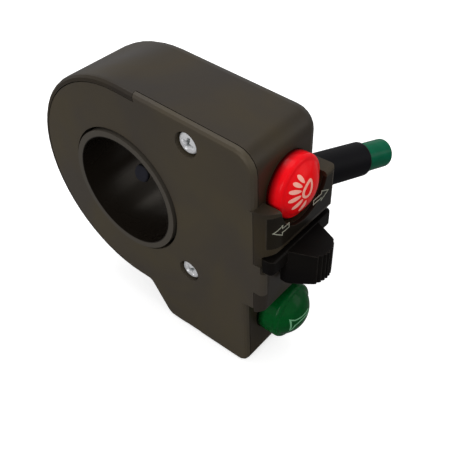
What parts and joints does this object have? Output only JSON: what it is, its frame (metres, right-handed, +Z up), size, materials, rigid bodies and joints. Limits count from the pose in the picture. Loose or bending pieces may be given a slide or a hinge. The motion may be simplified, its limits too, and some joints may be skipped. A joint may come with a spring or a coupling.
{
  "type": "handlebar switch cluster",
  "caption": "Handlebar switch cluster with a sliding turn signal switch, a headlight button and a horn button, in a moulded housing that slips onto the bar.",
  "frame": {"origin": "centre of the handlebar bore, in the plane of the side cover's face", "axes": "+X along the handlebar from the side cover to the far side, controls face -Y, +Z up"},
  "size_m": [0.0543, 0.0616, 0.0523],
  "materials": {
    "housing_plastic": "satin moulded plastic",
    "cover_plastic": "satin moulded plastic with a fine grain",
    "zinc_steel": "bright zinc plated",
    "dark_steel": "oiled black steel",
    "insert_brass": "turned",
    "contact_brass": "stamped",
    "arrow_plate": "polished",
    "board_laminate": "solder mask",
    "ivory_plastic": "natural moulded plastic",
    "switch_plastic": "moulded plastic",
    "boot_rubber": "moulded rubber",
    "core_jacket": "smooth jacket",
    "green_end": "satin",
    "wire_insulation": "smooth",
    "red_button": "polished, tinted through",
    "green_button": "polished, tinted through",
    "spring_steel": "drawn wire",
    "slider_plastic": "satin moulded plastic",
    "carriage_plastic": "low friction plastic"
  },
  "bodies": {
    "housing": {"main_housing": "housing_plastic", "side_cover": "cover_plastic", "cover_screws": "zinc_steel", "bar_grub_screw": "dark_steel", "grub_insert": "insert_brass", "arrow_fascia": "arrow_plate", "circuit_board": "board_laminate", "latch_module": "ivory_plastic", "latch_pin": "dark_steel", "headlight_contacts": "contact_brass", "horn_module": "switch_plastic", "horn_contacts": "contact_brass", "turn_contact_block": "switch_plastic", "turn_contacts": "contact_brass", "cable_sleeve": "boot_rubber", "lead_core": "core_jacket", "cable_end": "green_end", "cable_clamp": "switch_plastic", "lead_wires": "wire_insulation", "headlight_spring": "spring_steel", "horn_spring": "spring_steel"},
    "headlight_button": {"headlight_button": "red_button", "headlight_plunger": "ivory_plastic"},
    "horn_button": {"horn_button": "green_button", "horn_plunger": "ivory_plastic"},
    "turn_slider": {"slider_knob": "slider_plastic", "slider_carriage": "carriage_plastic", "slider_screw": "zinc_steel", "wiper_bridge": "contact_brass", "detent_ball": "zinc_steel", "detent_spring": "spring_steel"}
  },
  "joints": [
    {"name": "headlight_push", "type": "slide", "parent": "housing", "child": "headlight_button", "axis": [0, 1, 0], "range_m": [0, 0.002], "stiffness_N_per_m": 500, "springref_m": -0.001, "deforming": ["headlight_spring"]},
    {"name": "horn_push", "type": "slide", "parent": "housing", "child": "horn_button", "axis": [0, 1, 0], "range_m": [0, 0.002], "stiffness_N_per_m": 500, "springref_m": -0.001, "deforming": ["horn_spring"]},
    {"name": "signal_slide", "type": "slide", "parent": "housing", "child": "turn_slider", "axis": [1, 0, 0], "range_m": [-0.003, 0.003]}
  ]
}
